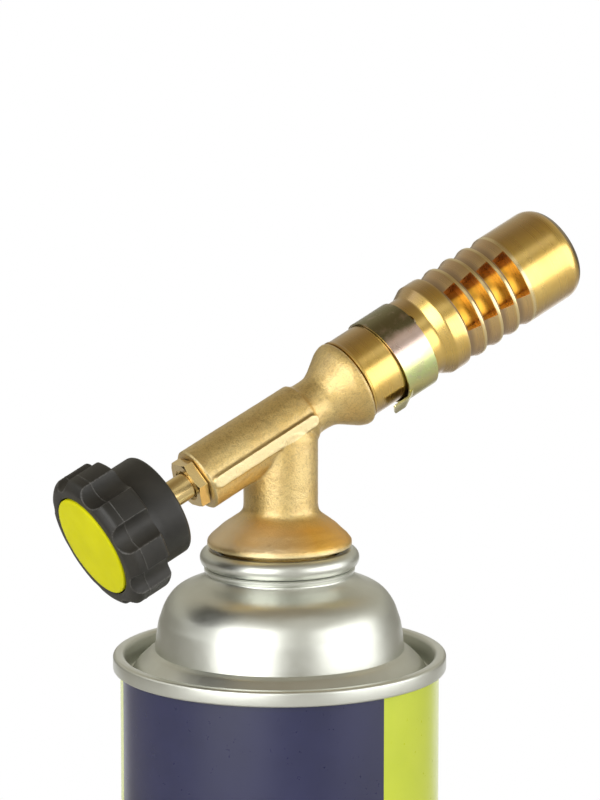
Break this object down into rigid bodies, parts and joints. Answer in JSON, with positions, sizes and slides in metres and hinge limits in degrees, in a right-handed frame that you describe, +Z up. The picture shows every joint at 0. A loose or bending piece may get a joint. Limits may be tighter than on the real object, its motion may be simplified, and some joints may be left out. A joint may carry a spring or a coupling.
{
  "type": "gas cartridge torch",
  "caption": "Brass blow torch with a slanted slotted burner tube, screwed on a tinplate gas cartridge, with a lobed valve knob.",
  "frame": {"origin": "on the floor, under the middle of the object's box", "axes": "+Z up along the cartridge, +X the way the flame points in plan, +Y to the torch's left"},
  "size_m": [0.1194, 0.0688, 0.2452],
  "materials": {
    "print": "gloss print on rolled tinplate, left plain",
    "tinplate": "satin tinplate",
    "rubber": "moulded black",
    "valve_plastic": "moulded",
    "steel": "satin",
    "forged_brass": "blasted forging",
    "turned_brass": "machined",
    "polished_brass": "polished",
    "inner_brass": "drawn",
    "bronze": "sintered, matt",
    "yellow_zinc": "yellow passivated zinc",
    "black_plastic": "moulded, fine texture",
    "lime_plastic": "moulded, satin"
  },
  "bodies": {
    "cartridge": {"can_body": "print", "can_dome": "tinplate", "can_bottom": "tinplate", "valve_cup": "tinplate", "cup_gasket": "rubber", "valve_housing": "valve_plastic", "stem_gasket": "rubber"},
    "stem": {"valve_stem": "valve_plastic", "valve_spring": "steel"},
    "thread_ring": {"base_seal": "rubber"},
    "torch": {"torch_body": "forged_brass", "depressor_pin": "turned_brass", "gas_filter": "bronze", "gland_nut": "turned_brass", "gland_washer": "turned_brass", "gland_packing": "rubber", "jet_tube": "turned_brass", "jet_nozzle": "turned_brass", "burner_head": "polished_brass", "mixing_tube": "inner_brass", "flame_holder": "steel"},
    "spindle_ring": {"spindle_o_ring": "rubber"},
    "needle_knob": {"valve_spindle": "turned_brass", "knob": "black_plastic", "knob_screw": "steel", "knob_washer": "steel", "knob_cap": "lime_plastic"},
    "clip": {"air_clip": "yellow_zinc"}
  },
  "joints": [
    {"name": "torch_lift", "type": "slide", "parent": "cartridge", "child": "thread_ring", "axis": [0, 0, 1], "range_m": [0, 0.00636]},
    {"name": "torch_turn", "type": "hinge", "parent": "thread_ring", "child": "torch", "pos_m": [-0.01072, 0, 0.1845], "axis": [0, 0, 1], "range_deg": [0, 2520]},
    {"name": "stem_rise", "type": "slide", "parent": "cartridge", "child": "stem", "axis": [0, 0, 1], "range_m": [0, 0.00181], "deforming": ["valve_spring"]},
    {"name": "spindle_travel", "type": "slide", "parent": "torch", "child": "spindle_ring", "axis": [-0.9045, 0, -0.4266], "range_m": [0, 0.0015]},
    {"name": "knob_turn", "type": "hinge", "parent": "spindle_ring", "child": "needle_knob", "pos_m": [-0.04581, 0, 0.18902], "axis": [-0.9045, 0, -0.4266], "range_deg": [0, 721]},
    {"name": "air_clip_slide", "type": "slide", "parent": "torch", "child": "clip", "axis": [-0.9045, 0, -0.4266], "range_m": [0, 0.005]}
  ],
  "couplings": [
    {"joint": "torch_lift", "follows": "torch_turn", "m_per_rad": 0.00014438},
    {"joint": "stem_rise", "follows": "torch_turn", "m_per_rad": 0.000040926},
    {"joint": "knob_turn", "follows": "spindle_travel", "rad_per_m": 8377.6}
  ]
}
